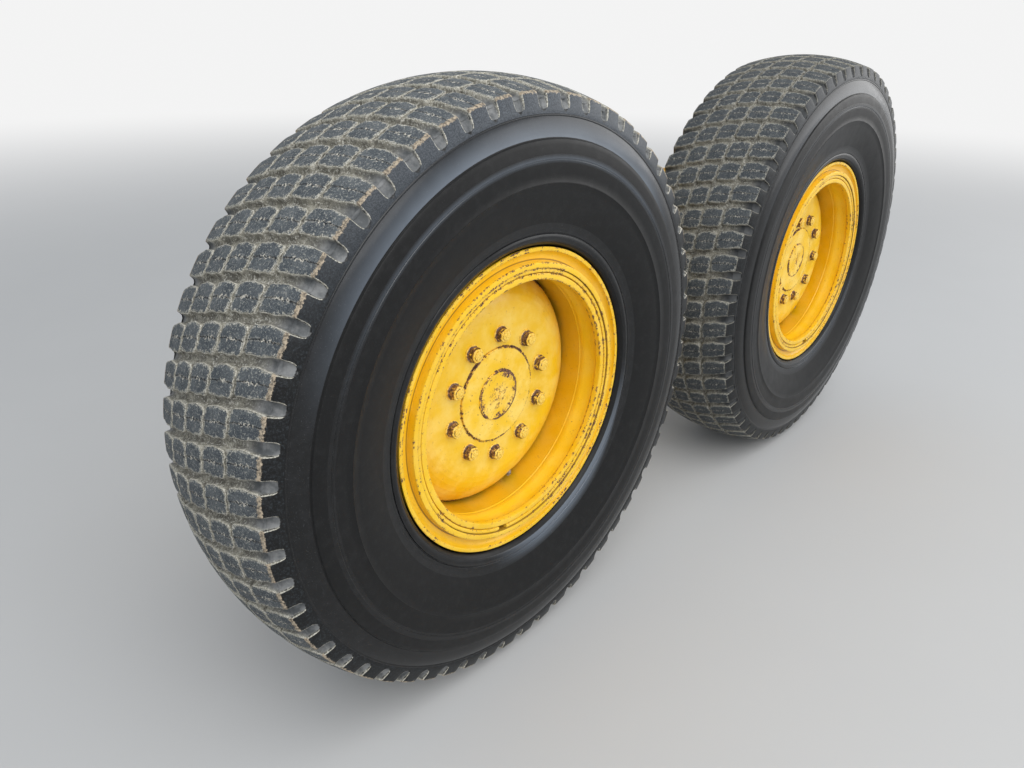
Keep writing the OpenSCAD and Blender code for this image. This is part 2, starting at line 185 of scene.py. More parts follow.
def join_meshes(name, meshes):
    """One mesh from several, with their named values and materials kept."""
    parts = [new_object(name + "_part", m) for m in meshes]
    with bpy.context.temp_override(active_object=parts[0], object=parts[0], selected_objects=parts,
                                   selected_editable_objects=parts):
        bpy.ops.object.join()
    mesh = parts[0].data
    bpy.data.objects.remove(parts[0])
    mesh.name = name
    return mesh


def on_wheel(name, mesh, side):
    """A copy of a wheel mesh in metres, turned and moved to its axle."""
    mesh = mesh.copy()
    mesh.transform(wheel_place(side, METRE))
    return new_object(name, mesh)


# Node trees

class Nodes:
    """A node tree in the making. A call adds a node and hands it back, or its output."""

    def __init__(self, tree):
        self.tree = tree

    def feed(self, socket, value):
        if isinstance(value, bpy.types.NodeSocket):
            self.tree.links.new(value, socket)
        else:
            socket.default_value = value

    def add(self, kind, settings=(), **inputs):
        made = self.tree.nodes.new(kind)
        for key, value in dict(settings).items():
            setattr(made, key, value)
        for key, value in inputs.items():
            self.feed(made.inputs[key.replace("_", " ")], value)
        return made

    def fill(self, made, values):
        """Feeds a node's inputs by their number."""
        for index, value in values.items():
            self.feed(made.inputs[index], value)
        return made

    def sum(self, how, a, b=0.0, c=0.0, clamp=False):
        made = self.add("ShaderNodeMath", {"operation": how, "use_clamp": clamp})
        return self.fill(made, {0: a, 1: b, 2: c}).outputs[0]

    def times(self, a, b):
        return self.sum("MULTIPLY", a, b)

    def flip(self, value):
        """0 where the value is 1, and 1 where it is 0."""
        return self.sum("SUBTRACT", 1.0, value)

    def mix(self, share, a, b):
        """From colour a to colour b."""
        made = self.add("ShaderNodeMix", {"data_type": "RGBA"})
        return self.fill(made, {0: share, 6: a, 7: b}).outputs[2]

    def blend(self, share, a, b):
        """From number a to number b."""
        made = self.add("ShaderNodeMix", {"data_type": "FLOAT"})
        return self.fill(made, {0: share, 2: a, 3: b}).outputs[0]

    def seen(self):
        """1 for what is seen, also in gloss or through glass, and 0 for what only lights the object."""
        rays = self.add("ShaderNodeLightPath").outputs
        seen = self.sum("MAXIMUM", rays["Is Camera Ray"], rays["Is Glossy Ray"])
        return self.sum("MAXIMUM", seen, rays["Is Transmission Ray"])


class Pattern(Nodes):
    """A Geometry Nodes tree with named inputs, and the plain mesh that it makes."""

    def __init__(self, name, **inputs):
        super().__init__(bpy.data.node_groups.new(name, "GeometryNodeTree"))
        self.sockets = {}
        for label, kind in dict(inputs, Material="Material").items():
            socket = self.tree.interface.new_socket(label, in_out="INPUT", socket_type="NodeSocket" + kind)
            self.sockets[label] = socket.identifier
        self.tree.interface.new_socket("Geometry", in_out="OUTPUT", socket_type="NodeSocketGeometry")
        self.given = self.add("NodeGroupInput").outputs

    def end(self, shape, join_within=0.0):
        """Closes the tree. Points that are no further apart than join_within, in metres, become one."""
        shape = self.add("GeometryNodeRealizeInstances", Geometry=shape).outputs[0]
        if join_within:
            shape = self.add("GeometryNodeMergeByDistance", Geometry=shape, Distance=join_within).outputs[0]
        dressed = self.add("GeometryNodeSetMaterial", Geometry=shape, Material=self.given["Material"])
        self.add("NodeGroupOutput", Geometry=dressed.outputs[0])
        return self

    def mesh(self, name, **values):
        """The plain mesh that the tree makes from the values given. An object among them is used up."""
        holder = new_object(name + "_holder", bpy.data.meshes.new(name + "_holder"))
        nodes = holder.modifiers.new("nodes", "NODES")
        nodes.node_group = self.tree
        for label, value in values.items():
            nodes[self.sockets[label]] = value
        seen = bpy.context.evaluated_depsgraph_get()
        mesh = bpy.data.meshes.new_from_object(holder.evaluated_get(seen), depsgraph=seen)
        mesh.name = name
        holder.modifiers.remove(nodes)
        bpy.data.objects.remove(holder)
        for value in values.values():
            if isinstance(value, bpy.types.Object):
                bpy.data.objects.remove(value)
        return mesh


def ring_pattern():
    """Copies of a piece, evenly round the axle, joined where they meet."""
    tree = Pattern("set round the axle", Piece="Object", Count="Int")
    piece = tree.add("GeometryNodeObjectInfo", Object=tree.given["Piece"])
    spots = tree.add("GeometryNodePoints", Count=tree.given["Count"])
    index = tree.add("GeometryNodeInputIndex").outputs[0]
    turn = tree.times(index, tree.sum("DIVIDE", math.tau, tree.given["Count"]))
    angles = tree.add("ShaderNodeCombineXYZ", Y=turn)
    copies = tree.add("GeometryNodeInstanceOnPoints", Points=spots.outputs[0],
                      Instance=piece.outputs["Geometry"], Rotation=angles.outputs[0])
    return tree.end(copies.outputs[0], join_within=2e-5)


def ring_mesh(name, piece_mesh, count, material):
    """The plain mesh of a ring of like pieces, in the wheel's own frame and in metres."""
    mesh = RING.mesh(name, Piece=new_object(name + "_one", piece_mesh), Count=count, Material=material)
    mesh.materials.clear()
    mesh.materials.append(material)
    mesh.polygons.foreach_set("material_index", [0] * len(mesh.polygons))
    shade(mesh)
    return mesh


def weld_pattern():
    """A rippled bead along a seam."""
    tree = Pattern("weld along a seam", Seam="Object", Ripple="Float", Radius="Float")
    seam = tree.add("GeometryNodeObjectInfo", Object=tree.given["Seam"]).outputs["Geometry"]
    path = tree.add("GeometryNodeResampleCurve", {"mode": "LENGTH"}, Curve=seam, Length=tree.given["Ripple"])
    wave = tree.sum("PINGPONG", tree.add("GeometryNodeInputIndex").outputs[0], 2.0)
    thick = tree.times(tree.sum("MULTIPLY_ADD", wave, 0.10, 0.80), tree.given["Radius"])
    section = tree.add("GeometryNodeCurvePrimitiveCircle", Resolution=7, Radius=1.0).outputs["Curve"]
    bead = tree.add("GeometryNodeCurveToMesh", Curve=path.outputs[0], Profile_Curve=section, Scale=thick)
    return tree.end(bead.outputs[0])


RING = ring_pattern()


# Materials

class Finish(Nodes):
    """A material in the making. Its patterns lie on the object's own coordinates, in metres."""

    def __init__(self, name):
        self.material = bpy.data.materials.new(name)
        self.material.use_nodes = True
        super().__init__(self.material.node_tree)
        self.surface = self.tree.nodes["Principled BSDF"]
        self.at = self.add("ShaderNodeTexCoord").outputs["Object"]

    def place(self):
        """The three coordinates of the point that is shaded."""
        return self.add("ShaderNodeSeparateXYZ", Vector=self.at).outputs

    def distance(self, x, z):
        return self.sum("SQRT", self.sum("ADD", self.times(x, x), self.times(z, z)))

    def value(self, name):
        return self.add("ShaderNodeAttribute", {"attribute_name": name}).outputs["Fac"]

    def noise(self, scale, detail=3.0, rough=0.5, at=None):
        return self.add("ShaderNodeTexNoise", Vector=at or self.at, Scale=scale, Detail=detail,
                        Roughness=rough).outputs["Fac"]

    def step(self, value, start, end):
        """0 before start and 1 past end, smooth in between. The end may be the lower of the two."""
        made = self.add("ShaderNodeMapRange", {"interpolation_type": "SMOOTHSTEP"}, Value=value,
                        From_Min=start, From_Max=end)
        return made.outputs["Result"]

    def patches(self, start, end, scale, detail=3.0, rough=0.5):
        """Patches of a noise: 1 where it is past end, 0 where it hasn't reached start."""
        return self.step(self.noise(scale, detail, rough), start, end)

    def bump(self, height, millimetres, below=None):
        made = self.add("ShaderNodeBump", Height=height, Distance=millimetres / METRE)
        if below:
            self.feed(made.inputs["Normal"], below)
        return made.outputs[0]

    def done(self, **inputs):
        for key, value in inputs.items():
            self.feed(self.surface.inputs[key.replace("_", " ")], value)
        return self.material


def colour(red, green, blue):
    return (red, green, blue, 1.0)


# Machine paint and what is on it. Two colours in one name are a finish's darker and lighter patches.
YELLOW = colour(0.86, 0.508, 0.005), colour(0.90, 0.548, 0.013)
PALE_YELLOW = colour(0.94, 0.660, 0.135)
THIN_PAINT = colour(0.60, 0.28, 0.045)
PAINT_SPECK = colour(0.34, 0.15, 0.04)
# Painted shade in creases
CREASE_PAINTED_SHADE = colour(0.20, 0.095, 0.014)
RUST_STREAK = colour(0.44, 0.265, 0.050)
LIGHT_RUST = colour(0.22, 0.105, 0.058)
RUST = colour(0.075, 0.036, 0.026), LIGHT_RUST
DRY_EARTH = colour(0.20, 0.165, 0.115), colour(0.42, 0.37, 0.28)


def case_border(f, x, z):
    """How far a point of the chain case's side view is inside the edge of its side plates, in metres."""
    slope = (CASE_END_RADIUS - CASE_HEIGHT / 2) / (AXLE_X - CASE_LEVEL / 2)
    x = f.sum("ABSOLUTE", x)
    flank = f.sum("SUBTRACT", f.sum("MINIMUM", x, AXLE_X / METRE), CASE_LEVEL / 2 / METRE)
    half_height = f.sum("MULTIPLY_ADD", f.sum("MAXIMUM", flank, 0.0), slope, CASE_HEIGHT / 2 / METRE)
    end = f.sum("MAXIMUM", f.sum("SUBTRACT", x, AXLE_X / METRE), 0.0)
    return f.sum("SUBTRACT", half_height, f.distance(end, z))


def grimy(f, tone, z, grime):
    """Streaks that run down, dust that lies on what faces up, and mud thrown against the lower half."""
    drawn = f.add("ShaderNodeMapping", Vector=f.at, Scale=(1.0, 1.0, 0.13)).outputs[0]
    streak = f.times(f.step(f.noise(26, 6, 0.62, drawn), 0.46, 0.74), 0.62 * grime)
    tone = f.mix(streak, tone, RUST_STREAK)
    low = f.sum("MULTIPLY_ADD", z, -2.4, f.sum("MULTIPLY_ADD", f.noise(17, 7, 0.72), 2.2, -1.45))
    mud = f.times(f.step(low, 0.0, 0.62), 0.85 * grime)
    normal = f.add("ShaderNodeNewGeometry").outputs["Normal"]
    up = f.add("ShaderNodeSeparateXYZ", Vector=normal).outputs["Z"]
    lying = f.times(f.step(up, 0.55, 0.95), f.patches(0.40, 0.66, 34, 6, 0.68))
    dirt = f.sum("MAXIMUM", mud, f.times(lying, 0.8 * grime))
    return f.mix(dirt, tone, f.mix(f.patches(0.42, 0.62, 300, 3, 0.6), *DRY_EARTH))


def yellow_paint(name, chips=0.13, grime=0.0, rough=0.34, specks=0.5, speck_size=330, pale=0.5, rings=(),
                 centre=0.0, painted_shade_creases=(), plates=False):
    """Machine paint: uneven in depth, specked, and chipped to rust in clusters where the wear is. A ring of
    wear round an axle is (radius, width, strength), and a crease darkened with painted shade is (radius,
    width).
    The axle is centre away from the middle of the case. Grime goes on what stands still, and plates says that
    the case's side plates wear at their edges."""
    f = Finish(name)
    x, _, z = f.place()
    radius = f.distance(f.sum("SUBTRACT", f.sum("ABSOLUTE", x), centre / METRE), z)

    def off_ring(at, width):
        """0 on a ring round the axle, and 1 from its width away on."""
        off = f.sum("ABSOLUTE", f.sum("SUBTRACT", radius, at / METRE))
        return f.step(off, width / 4 / METRE, width / METRE)

    wear = f.value("wear")
    if plates:
        edge = f.flip(f.step(case_border(f, x, z), 0.002, 0.010))
        wear = f.sum("MAXIMUM", wear, f.times(edge, 1.3))
    if grime:
        wear = f.sum("MAXIMUM", wear, 0.5)
    for at, width, strength in rings:
        wear = f.sum("MAXIMUM", wear, f.times(f.flip(off_ring(at, width)), strength))
    wear = f.times(wear, f.sum("MULTIPLY_ADD", f.patches(0.40, 0.60, 10, 4, 0.6), 0.55, 0.45))
    amount = f.sum("MULTIPLY_ADD", f.noise(72, 6, 0.72), 0.6, f.times(f.noise(230, 4, 0.65), 0.4))
    amount = f.sum("MULTIPLY_ADD", wear, chips, amount)
    chip = f.step(amount, 0.640, 0.662)
    round_chip = f.step(amount, 0.575, 0.650)

    tone = f.mix(f.patches(0.36, 0.66, 7, 4), *YELLOW)
    tone = f.mix(f.times(f.patches(0.36, 0.70, 19, 5, 0.6), pale), tone, PALE_YELLOW)
    if grime:
        tone = grimy(f, tone, z, grime)
    tone = f.mix(f.times(f.patches(0.655, 0.70, speck_size, 3, 0.6), specks), tone, PAINT_SPECK)
    tone = f.mix(f.times(round_chip, 0.62), tone, THIN_PAINT)
    # Painted shade: a dark line along each crease
    for at, width in painted_shade_creases:
        tone = f.mix(f.sum("SUBTRACT", 0.8, off_ring(at, width), clamp=True), tone, CREASE_PAINTED_SHADE)
    tone = f.mix(chip, tone, f.mix(f.patches(0.42, 0.6, 210, 3), *RUST))
    skin = f.bump(f.noise(140, 4, 0.6), 0.12)
    skin = f.bump(f.flip(chip), 0.35, skin)
    gloss = f.blend(chip, f.blend(f.noise(35, 3), rough - 0.08, rough + 0.10), 0.82)
    return f.done(Base_Color=tone, Roughness=gloss, Normal=skin)


# Rubber, and the dust and mud on it
SIDEWALL_BLACK = colour(0.0040, 0.0042, 0.0046), colour(0.0090, 0.0093, 0.0097)
SIDEWALL_FLECK = colour(0.060, 0.060, 0.058)
LUG_FLANK = colour(0.034, 0.041, 0.047)
# Painted sheen on the lugs' flanks
LUG_PAINTED_SHEEN = colour(0.043, 0.050, 0.059), colour(0.100, 0.112, 0.128)
SLATE = colour(0.056, 0.066, 0.075), colour(0.100, 0.111, 0.118)
SLATE_GRAIN = colour(0.20, 0.212, 0.216)
SLATE_PIT = colour(0.022, 0.025, 0.029)
SLATE_CRUMB = colour(0.34, 0.335, 0.30)
WET_RUBBER = colour(0.020, 0.022, 0.024)
GROOVE_DUST = colour(0.128, 0.120, 0.100), colour(0.37, 0.350, 0.288)
DUST_CRUMB = colour(0.64, 0.62, 0.55)
DUST_SHADE = colour(0.080, 0.076, 0.062)
DUST_FLECK = colour(0.07, 0.065, 0.055)
WET_DUST = colour(0.045, 0.038, 0.028)
SCOOP_SATIN = colour(0.075, 0.080, 0.083), colour(0.22, 0.222, 0.22)
BLOCK_CRUST = colour(0.17, 0.165, 0.14), colour(0.58, 0.56, 0.49)
LIP_DUST = colour(0.30, 0.28, 0.22), colour(0.74, 0.71, 0.62)
WORN_CREAM = colour(0.15, 0.125, 0.095), colour(0.47, 0.385, 0.28)
CUT_BLACK = colour(0.010, 0.010, 0.011)
PIT_BLACK = colour(0.014, 0.014, 0.015)
PALE_MUD = colour(0.64, 0.60, 0.51)
DRESSED_BLACK = colour(0.0040, 0.0043, 0.0048), colour(0.0090, 0.0095, 0.0105)
DRESSED_FLECK = colour(0.050, 0.052, 0.054)
# Painted reflection on the dressed rubber
DRESSED_PAINTED_SHEEN = colour(0.118, 0.138, 0.165)


def block_cut(f, y, along, across, face, wet):
    """The zigzag cut across the middle of each block, the mud that clings beside it, and pits there."""
    saw = f.sum("PINGPONG", f.sum("ADD", y, 5.0), 0.0058)
    inner = f.flip(f.step(across, 0.30, 0.55))
    line = f.times(f.sum("MULTIPLY_ADD", saw, 700.0, -2.0), inner)
    line = f.sum("ADD", line, f.sum("MULTIPLY_ADD", f.noise(45, 2), 5.0, -2.5))
    off = f.sum("ABSOLUTE", f.sum("SUBTRACT", along, line))
    cut = f.times(f.flip(f.step(off, 0.35, 1.15)), face)
    near = f.times(f.flip(f.step(off, 1.6, 4.4)), face)
    mud = f.times(near, f.patches(0.50, 0.58, 230, 4, 0.7))
    mud = f.times(mud, f.sum("MULTIPLY_ADD", inner, 0.75 - 1.6 * wet, 0.25))
    pits = f.times(near, f.patches(0.53, 0.60, 210, 5, 0.7))
    return cut, mud, pits


def tyre_rubber(name, grooves=1.0, shoulders=1.0):
    """Black sidewalls, slate block faces, a painted sheen on the flanks of the upper lugs, and dust in the
    grooves and slits. The two numbers say how much dust is in the grooves, and on the shoulders and in the
    scoops; the second also sets how strong the painted sheen on the lugs is."""
    f = Finish(name)
    wet = 1.0 - grooves
    face, dusty, cream, lip, scoop = (f.value(n) for n in ("face", "dusty", "cream", "lip", "scoop"))
    across, along, border = (f.value(n) for n in ("across", "along", "border"))
    _, y, z = f.place()
    grain = f.noise(430, 4, 0.65)
    light_grain = f.step(grain, 0.40, 0.62)
    fleck = f.noise(640, 2)

    black = f.mix(f.patches(0.45, 0.75, 55, 4, 0.6), *SIDEWALL_BLACK)
    black = f.mix(f.times(f.step(fleck, 0.66, 0.72), 0.5), black, SIDEWALL_FLECK)
    lug = f.times(across, f.flip(f.sum("MAXIMUM", face, scoop)))
    black = f.mix(f.times(lug, f.patches(0.47, 0.70, 260, 5, 0.75)), black, LUG_FLANK)
    # Painted sheen: the flanks of the lugs are lighter towards the top of the wheel
    painted_sheen = f.times(lug, f.times(f.step(z, 0.25, 0.62), 0.85 * shoulders))
    black = f.mix(painted_sheen, black, f.mix(light_grain, *LUG_PAINTED_SHEEN))

    slate = f.mix(f.patches(0.35, 0.68, 30, 5, 0.6), *SLATE)
    slate = f.mix(f.step(grain, 0.48, 0.76), slate, SLATE_GRAIN)
    slate = f.mix(f.patches(0.60, 0.70, 560, 2), slate, SLATE_PIT)
    crumbs = f.step(f.sum("MULTIPLY_ADD", across, -0.05, f.noise(240, 5, 0.75)), 0.535, 0.60)
    slate = f.mix(f.times(crumbs, 0.75), slate, SLATE_CRUMB)
    slate = f.mix(1.5 * wet, slate, WET_RUBBER)

    dust = f.mix(f.patches(0.35, 0.7, 48, 5, 0.65), *GROOVE_DUST)
    dust = f.mix(f.patches(0.50, 0.66, 260, 5, 0.7), dust, DUST_CRUMB)
    dust = f.mix(f.patches(0.54, 0.68, 300, 4, 0.7), dust, DUST_SHADE)
    dust = f.mix(f.times(f.step(fleck, 0.60, 0.70), 0.6), dust, DUST_FLECK)
    dust = f.mix(0.6 * wet, dust, WET_DUST)
    in_scoop = f.mix(shoulders, WET_RUBBER, f.mix(f.patches(0.35, 0.7, 40, 4, 0.6), *SCOOP_SATIN))

    # Where each of them lies
    cut, mud, pits = block_cut(f, y, along, across, face, wet)
    rough_edge = f.sum("MULTIPLY_ADD", f.noise(150, 5, 0.72), 1.1, -0.55)
    dusty_here = f.step(f.times(f.sum("ADD", dusty, rough_edge), grooves), 0.30, 0.62)
    crust = f.sum("MULTIPLY_ADD", border, -0.16, f.sum("MULTIPLY_ADD", f.noise(115, 6, 0.78), 4.6, -1.48))
    crust = f.times(f.times(f.step(crust, 0.30, 0.52), face), grooves)
    ragged = f.sum("MULTIPLY_ADD", f.noise(130, 6, 0.78), 2.1, -1.15)
    cream_here = f.step(f.sum("MULTIPLY_ADD", cream, shoulders, ragged), 0.46, 0.66)
    lip_here = f.times(f.step(f.sum("ADD", lip, rough_edge), 0.55, 0.90), 0.25 + 0.6 * shoulders)

    tone = f.mix(face, black, slate)
    tone = f.mix(crust, tone, f.mix(light_grain, *BLOCK_CRUST))
    tone = f.mix(dusty_here, tone, f.mix(scoop, dust, in_scoop))
    tone = f.mix(lip_here, tone, f.mix(f.step(grain, 0.42, 0.6), *LIP_DUST))
    tone = f.mix(cream_here, tone, f.mix(f.patches(0.40, 0.58, 210, 5, 0.7), *WORN_CREAM))
    tone = f.mix(f.times(cut, 0.9), tone, CUT_BLACK)
    tone = f.mix(f.times(pits, 0.8), tone, PIT_BLACK)
    tone = f.mix(mud, tone, PALE_MUD)

    matt = f.sum("MAXIMUM", face, dusty, clamp=True)
    matt = f.sum("SUBTRACT", matt, f.times(scoop, 0.62), clamp=True)
    rough = f.blend(matt, f.blend(f.noise(30, 4), 0.30, 0.48), 0.85)
    skin = f.bump(f.times(grain, matt), 0.9)
    skin = f.bump(f.noise(90), 0.10, skin)
    skin = f.bump(f.flip(cut), 1.2, skin)
    return f.done(Base_Color=tone, Roughness=rough, Specular_IOR_Level=0.26, Normal=skin)


def dressed_rubber():
    """Rubber that shines with tyre dressing, on the shoulder's band, the rib under it and the bead. A pale
    painted reflection lies on the upper part of the band and the rib, and on the lower part of the bead."""
    f = Finish("dressed_rubber")
    sheen = f.value("sheen")
    x, _, z = f.place()
    ahead = f.sum("SUBTRACT", x, f.times(f.sum("SIGN", x), AXLE_X / METRE))
    tone = f.mix(f.patches(0.40, 0.70, 60, 4, 0.6), *DRESSED_BLACK)
    tone = f.mix(f.patches(0.66, 0.72, 520, 2), tone, DRESSED_FLECK)

    # Painted reflection: pale on the upper part of the band and the rib, towards the front
    high = f.sum("POWER", f.sum("MULTIPLY_ADD", sheen, 2.0, -1.0, clamp=True), 1.4)
    high = f.times(high, f.times(f.step(z, 0.12, 0.52), f.step(ahead, -0.52, -0.34)))
    high = f.sum("MULTIPLY", high, f.blend(f.noise(9), 0.7, 1.3), clamp=True)
    # Painted reflection: pale on the lower part of the bead, towards the rear
    bead = f.step(sheen, f.blend(f.step(z, -0.10, -0.35), 0.523, 0.498), BEAD_SHEEN)
    bead = f.times(bead, f.sum("LESS_THAN", sheen, BEAD_SHEEN + 0.005))
    bead = f.times(bead, f.times(f.step(z, 0.02, -0.24), f.step(ahead, 0.12, -0.09)))
    # The painted reflection is weaker on the rear wheel
    on_front_wheel = f.step(x, -0.1, 0.1)
    painted_sheen = f.times(f.sum("MAXIMUM", high, bead), f.blend(on_front_wheel, 0.25, 1.0))

    tone = f.mix(painted_sheen, tone, DRESSED_PAINTED_SHEEN)
    rough = f.blend(f.step(sheen, 0.498, BEAD_SHEEN), 0.40, f.blend(f.noise(24, 4), 0.16, 0.26))
    return f.done(Base_Color=tone, Roughness=rough, Specular_IOR_Level=0.36, Normal=f.bump(f.noise(80), 0.08))


# Metal

NUT_RUST = colour(0.040, 0.018, 0.013), colour(0.19, 0.092, 0.056)
NUT_LIGHT_RUST = colour(0.42, 0.225, 0.11)
NUT_PAINT = colour(0.82, 0.49, 0.035), colour(0.94, 0.66, 0.13)
NUT_SPECK = colour(0.36, 0.17, 0.04)
STEEL = colour(0.16, 0.15, 0.13), colour(0.34, 0.32, 0.28)
STEM_METAL = colour(0.16, 0.165, 0.21), colour(0.44, 0.46, 0.56)
BLACK_CAP = colour(0.012, 0.012, 0.012), colour(0.03, 0.03, 0.03)


def nut_metal():
    """Rusted flanks with patches of paint, and painted end faces with specks."""
    f = Finish("nut_metal")
    paint = f.sum("ADD", f.value("paint"), f.sum("MULTIPLY_ADD", f.noise(115, 6, 0.72), 2.7, -1.33))
    left = f.step(paint, 0.42, 0.52)
    rust = f.mix(f.patches(0.35, 0.65, 190, 4, 0.6), *NUT_RUST)
    rust = f.mix(f.patches(0.54, 0.66, 120, 3, 0.6), rust, NUT_LIGHT_RUST)
    tone = f.mix(f.patches(0.4, 0.62, 240), *NUT_PAINT)
    tone = f.mix(f.times(f.patches(0.57, 0.66, 330, 3, 0.6), 0.7), tone, NUT_SPECK)
    return f.done(Base_Color=f.mix(left, rust, tone), Roughness=f.blend(left, 0.42, 0.40),
                  Normal=f.bump(f.noise(260, 4), 0.35))


def plain_metal(name, tones, metal, rough, rust=0.7):
    """Cloudy metal, or a moulded cap, with patches of rust or dirt."""
    f = Finish(name)
    tone = f.mix(f.patches(0.35, 0.68, 120, 5, 0.6), *tones)
    tone = f.mix(f.times(f.patches(0.6, 0.72, 252, 4, 0.6), rust), tone, LIGHT_RUST)
    return f.done(Base_Color=tone, Metallic=metal, Roughness=f.blend(f.noise(120), rough - 0.1, rough + 0.15),
                  Normal=f.bump(f.noise(240, 4), 0.25))


# Tyre

CROWN_BEND = (TREAD_HALF ** 2 + SHOULDER_DROP ** 2) / (2 * SHOULDER_DROP)
# Degrees from groove to groove, degrees at which the first pitch lies, and how many degrees the rows and the
# blocks in them slant for each millimetre across
PITCH = 360 / GROOVES
PITCH_START = 15.43
ROW_SLANT = 0.0218
BLOCK_SLANT = 0.015
# The row that the shoulders' lugs run on with
LUG_ROW = 128.5
BLOCK_CORNER = 7.0
# How much of its depth a groove or a slit has at the edge of a block
GROOVE_LIP = 0.07
SLIT_LIP = 0.13
ROWS = [(-163, -93.5), (-88.5, -31.5), (-26.5, 26.5), (31.5, 88.5), (93.5, 163)]
# How far a block's front and rear edges stand out, from one of its sides to the other
RIPPLES = (0.0, 0.0, 0.8, -0.9, 1.5, -0.9, 0.8, 0.0, 0.0)
# How far the slits step aside on either side of a block's middle cut
JOGS = {4: -0.6, 5: 1.5, 6: 1.9, 7: -1.9, 8: -1.3, 9: 0.8}
# Down a shoulder: radius, place from the tyre's middle, depth and half width of the scoop
SHOULDER = [
    (641.2, 163.6, 12.5, 13.4), (637.0, 165.1, 11.6, 13.3), (631.0, 167.0, 9.8, 13.0),
    (625.0, 168.8, 7.6, 12.7), (619.5, 170.3, 5.3, 11.9), (614.8, 171.4, 3.2, 9.9), (611.4, 172.0, 1.5, 6.9),
    (609.2, 172.3, 0.2, 2.8), (606.0, 172.6, 0.0, 4.0), (600.0, 172.4, 0.0, 8.0),
]
# Where the tread's rubber closes inside the carcass, and the carcass's own crown under the tread
TREAD_BACK = [(592, 160), (612, 125), (630, 55), (630, -55), (612, -125), (592, -160)]
CARCASS_CROWN = [(612, -150), (628, -120), (638, -60), (638, 60), (628, 120), (612, 150)]


def crown(y):
    return TYRE_RADIUS - CROWN_BEND + math.sqrt(CROWN_BEND ** 2 - y * y)


def crown_station(y, row, t, edge, slit, **more):
    return {"y": y, "r": crown(y), "lean": math.asin(y / CROWN_BEND), "row": row, "t": t, "edge": edge,
            "slit": slit, "cream": 0.0, "ripple": 0.0, **more}


def tread_stations():
    """Across the tread, from one sidewall to the other. Each station holds its place, how the groove runs
    there, and what shows on its blocks."""
    stations = []
    for a, b in ROWS:
        width, middle = b - a, (a + b) / 2
        across = (0.0, 2.2, 6.0, 14.0, width / 2, width - 14.0, width - 6.0, width - 2.2, width)
        for s, ripple in zip(across, RIPPLES):
            y, edge = a + s, min(s, width - s)
            slit = SLIT_LIP if edge == 0 else 0.0
            stations.append(crown_station(y, middle, (y - middle) / (width / 2), edge, slit, ripple=ripple,
                                          cream=max(0.0, min(1.0, (abs(y) - 151.0) / 11.0))))
        if b < TREAD_HALF:
            stations.append(crown_station(b + 1.0, middle, 1.0, 0.0, 1.0))
            stations.append(crown_station(b + 4.0, middle, -1.0, 0.0, 1.0))
    # The far side of a slit belongs to the next row
    for this, after in zip(stations, stations[1:]):
        if this["slit"] == 1.0 and this["t"] == -1.0:
            this["row"] = after["row"]
    ends = []
    for i, (r, y, depth, half) in enumerate(SHOULDER):
        before = SHOULDER[i - 1] if i else (crown(158.0), 158.0)
        after = SHOULDER[i + 1] if i + 1 < len(SHOULDER) else (590.0, 175.9)
        lean = math.atan2(before[0] - after[0], after[1] - before[1])
        cream = {0: 0.9, 1: 0.35}.get(i, 0.0)
        ends.append({"y": y, "r": r, "lean": lean, "row": LUG_ROW, "t": 1.0, "edge": 20.0, "slit": 0.0,
                     "depth": depth, "half": half, "down": (i + 1) / 8.0, "cream": cream})
    inner = [dict(s, y=-s["y"], lean=-s["lean"], row=-LUG_ROW, t=-1.0) for s in reversed(ends)]
    back = [dict(ends[-1], y=y, r=r, lean=0.0, row=0.75 * y, down=1.25) for r, y in TREAD_BACK]
    return inner + stations + ends + back


def degree_at(s):
    """The length of one degree of turn at a station."""
    return math.pi * s["r"] / 180


def block_reach(s):
    """From where to where a station's block or lug reaches along the tread, from the pitch's middle line."""
    degree = degree_at(s)
    if "half" in s:
        middle = 3.1 - 0.35 * min(1.0, s["down"])
        return (middle - PITCH) * degree + s["half"], middle * degree - s["half"]
    y, t = s["y"], s["t"]
    corner = 0.0
    if abs(y) <= 150:
        short = max(0.0, BLOCK_CORNER - s["edge"])
        corner = BLOCK_CORNER - math.sqrt(max(0.0, BLOCK_CORNER ** 2 - short ** 2))
    full = max(0.0, min(1.0, (160.0 - abs(y)) / 55.0))
    lower = (-1.75 + 0.1 * t * t - 0.26 * full) * degree + corner - s["ripple"]
    upper = (2.35 - 0.5 * t * t + 0.24 * full) * degree - corner - 0.5 * math.cos(math.tau * t) + s["ripple"]
    return lower, upper


def finish_values(s, along, share, drop, lower, upper):
    """What the rubber's finish needs at a point: along is its place on the block, share its share of the
    groove's depth, and drop its depth."""
    y, edge = s["y"], s["edge"]
    on_crown = "half" not in s
    top = on_crown and share == 0.0 and s["slit"] == 0.0
    if on_crown:
        dusty = 0.0 if top else (0.72 if drop < 1.5 else 1.0)
    else:
        dusty = min(1.0, share * 1.2) * (1.0 if s["down"] < 0.8 else 0.35) if s["depth"] else 0.0
    has_groove = on_crown or s["depth"]
    groove_lip = share == GROOVE_LIP and (on_crown or s["down"] < 0.8)
    slit_lip = share == 0.0 and s["slit"] == SLIT_LIP
    return {
        "face": 1.0 if top else 0.0,
        "dusty": dusty,
        "cream": s["cream"] if share <= GROOVE_LIP else 0.0,
        "along": along - (lower + upper) / 2,
        "across": abs(s["t"]) if on_crown else 1.0,
        "border": max(0.0, min(edge, along - lower, upper - along)) if on_crown else 0.0,
        "lip": 1.0 if groove_lip or slit_lip else 0.0,
        "scoop": min(1.0, max(0.0, (abs(y) - 118) / 26)) if share > 0.5 and has_groove else 0.0,
    }


